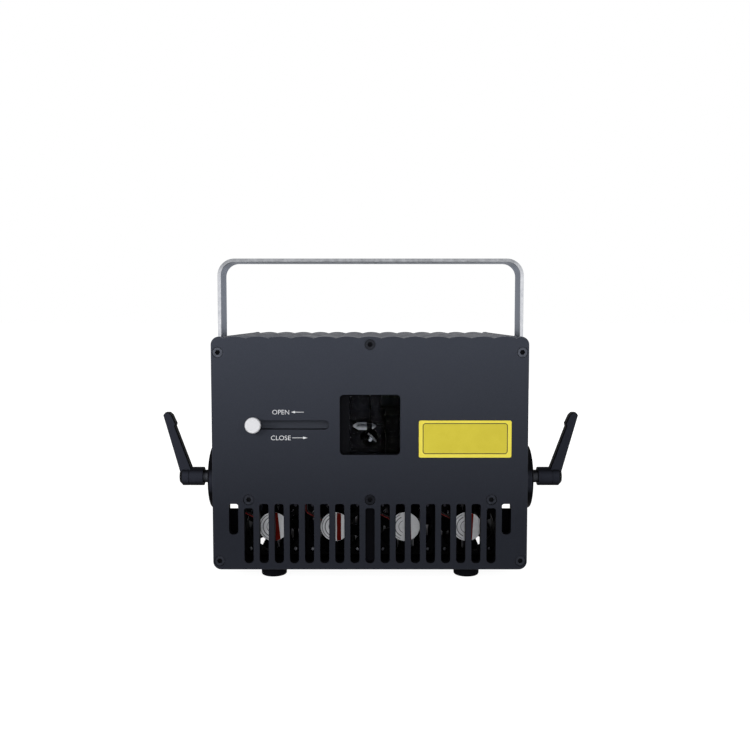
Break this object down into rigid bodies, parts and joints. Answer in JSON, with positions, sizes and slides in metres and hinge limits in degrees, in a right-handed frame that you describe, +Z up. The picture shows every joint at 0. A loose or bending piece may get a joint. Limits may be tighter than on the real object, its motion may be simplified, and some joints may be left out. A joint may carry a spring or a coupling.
{
  "type": "laser show projector",
  "caption": "Boxed laser light projector with a ribbed case, a front aperture with a sliding shutter, vented fan bay, rear sockets and a tilting yoke with clamp levers.",
  "frame": {"origin": "middle of the overall box, on the surface that the feet stand on", "axes": "+Z up, +Y from the front panel to the rear panel, +X to the right as seen from the front"},
  "size_m": [0.4136, 0.278, 0.2854],
  "materials": {
    "panel_black": "fine black anodised",
    "housing_black": "satin black anodised",
    "plate_black": "black anodised",
    "steel_black": "black powder coat",
    "strap_silver": "brushed",
    "knob_silver": "turned",
    "fin_silver": "extruded",
    "shutter_grey": "grey anodised",
    "module_silver": "machined",
    "screw_black": "black oxide",
    "steel": "turned",
    "black_plastic": "moulded, matt",
    "lever_plastic": "fine texture",
    "fan_plastic": "moulded",
    "button_grey": "moulded",
    "red_plastic": "gloss",
    "board_green": "solder mask",
    "display_black": "gloss",
    "label_silver": "foil",
    "plate_yellow": "printed film",
    "lead_red": "soft sheath",
    "lead_black": "soft sheath",
    "rubber_black": "matt",
    "bush_nylon": "nylon",
    "glass_clear": "clear",
    "mirror_silver": "polished",
    "pin_brass": "plated"
  },
  "bodies": {
    "case": {"front_panel": "panel_black", "housing": "housing_black", "base_plate": "steel_black", "rear_panel": "panel_black", "optics_plate": "plate_black", "pivot_blocks": "steel", "feet": "rubber_black", "panel_screws": "screw_black", "blank_plate": "plate_yellow", "shutter_rails": "plate_black", "aperture_glass": "glass_clear", "yoke_bushes": "bush_nylon", "fan_labels": "label_silver", "fan_screws": "screw_black", "fan_leads_red": "lead_red", "fan_leads_black": "lead_black", "fan_bracket": "steel_black", "centre_post": "plate_black", "heatsink": "fin_silver", "fan_frames": "fan_plastic", "optics_mounts": "plate_black", "scan_motors": "steel_black", "laser_modules": "plate_black", "fold_mirrors": "mirror_silver", "power_supply": "module_silver", "circuit_boards": "board_green", "standoffs": "pin_brass", "mains_inlet": "black_plastic", "switch_body": "black_plastic", "key_barrel": "steel", "input_socket": "black_plastic", "round_sockets": "black_plastic", "contact_pins": "pin_brass", "signal_socket": "steel", "display": "display_black", "emission_lamp": "red_plastic", "safety_eye": "steel"},
    "shutter": {"shutter_plate": "shutter_grey", "shutter_knob": "knob_silver"},
    "yoke": {"yoke_bracket": "strap_silver", "pivot_discs": "black_plastic"},
    "stud_left": {"clamp_stud_left": "screw_black"},
    "stud_right": {"clamp_stud_right": "screw_black"},
    "lever_left": {"clamp_lever_left": "lever_plastic"},
    "lever_right": {"clamp_lever_right": "lever_plastic"},
    "scan_x": {"scan_shaft_x": "steel", "scan_mirror_x": "mirror_silver"},
    "scan_y": {"scan_shaft_y": "screw_black", "scan_mirror_y": "mirror_silver"},
    "rocker": {"switch_rocker": "red_plastic"},
    "key": {"key": "steel", "key_plug": "steel"},
    "rotor_1": {"fan_rotor_1": "fan_plastic"},
    "button_1": {"menu_button_1": "button_grey"},
    "rotor_2": {"fan_rotor_2": "fan_plastic"},
    "button_2": {"menu_button_2": "button_grey"},
    "rotor_3": {"fan_rotor_3": "fan_plastic"},
    "button_3": {"menu_button_3": "button_grey"},
    "rotor_4": {"fan_rotor_4": "fan_plastic"},
    "button_4": {"menu_button_4": "button_grey"}
  },
  "joints": [
    {"name": "shutter_slide", "type": "slide", "parent": "case", "child": "shutter", "axis": [1, 0, 0], "range_m": [0, 0.061]},
    {"name": "yoke_tilt", "type": "hinge", "parent": "case", "child": "yoke", "pos_m": [0, -0.008, 0.0691], "axis": [1, 0, 0], "range_deg": [-100, 100]},
    {"name": "clamp_turn_left", "type": "hinge", "parent": "case", "child": "stud_left", "pos_m": [0, -0.008, 0.0691], "axis": [-1, 0, 0], "range_deg": [0, 180]},
    {"name": "lever_lift_left", "type": "slide", "parent": "stud_left", "child": "lever_left", "axis": [-1, 0, 0], "range_m": [0, 0.004], "stiffness_N_per_m": 800, "springref_m": -0.006},
    {"name": "clamp_turn_right", "type": "hinge", "parent": "case", "child": "stud_right", "pos_m": [0, -0.008, 0.0691], "axis": [1, 0, 0], "range_deg": [0, 180]},
    {"name": "lever_lift_right", "type": "slide", "parent": "stud_right", "child": "lever_right", "axis": [1, 0, 0], "range_m": [0, 0.004], "stiffness_N_per_m": 800, "springref_m": -0.006},
    {"name": "fan_spin_1", "type": "hinge", "parent": "case", "child": "rotor_1", "pos_m": [-0.0864, -0.109, 0.042], "axis": [0, 1, 0], "continuous": true},
    {"name": "fan_spin_2", "type": "hinge", "parent": "case", "child": "rotor_2", "pos_m": [-0.0312, -0.109, 0.042], "axis": [0, 1, 0], "continuous": true},
    {"name": "fan_spin_3", "type": "hinge", "parent": "case", "child": "rotor_3", "pos_m": [0.0312, -0.109, 0.042], "axis": [0, 1, 0], "continuous": true},
    {"name": "fan_spin_4", "type": "hinge", "parent": "case", "child": "rotor_4", "pos_m": [0.0864, -0.109, 0.042], "axis": [0, 1, 0], "continuous": true},
    {"name": "scan_turn_x", "type": "hinge", "parent": "case", "child": "scan_x", "pos_m": [0, -0.088, 0.11752], "axis": [0, 1, 0], "range_deg": [-12, 12]},
    {"name": "scan_turn_y", "type": "hinge", "parent": "case", "child": "scan_y", "pos_m": [0, -0.088, 0.13152], "axis": [1, 0, 0], "range_deg": [-12, 12]},
    {"name": "power_rock", "type": "hinge", "parent": "case", "child": "rocker", "pos_m": [0.098, 0.115, 0.13797], "axis": [-1, 0, 0], "range_deg": [0, 12]},
    {"name": "key_turn", "type": "hinge", "parent": "case", "child": "key", "pos_m": [-0.098, 0.115, 0.14497], "axis": [0, -1, 0], "range_deg": [0, 90]},
    {"name": "button_press_1", "type": "slide", "parent": "case", "child": "button_1", "axis": [0, -1, 0], "range_m": [0, 0.001], "stiffness_N_per_m": 600, "springref_m": -0.0005},
    {"name": "button_press_2", "type": "slide", "parent": "case", "child": "button_2", "axis": [0, -1, 0], "range_m": [0, 0.001], "stiffness_N_per_m": 600, "springref_m": -0.0005},
    {"name": "button_press_3", "type": "slide", "parent": "case", "child": "button_3", "axis": [0, -1, 0], "range_m": [0, 0.001], "stiffness_N_per_m": 600, "springref_m": -0.0005},
    {"name": "button_press_4", "type": "slide", "parent": "case", "child": "button_4", "axis": [0, -1, 0], "range_m": [0, 0.001], "stiffness_N_per_m": 600, "springref_m": -0.0005}
  ]
}
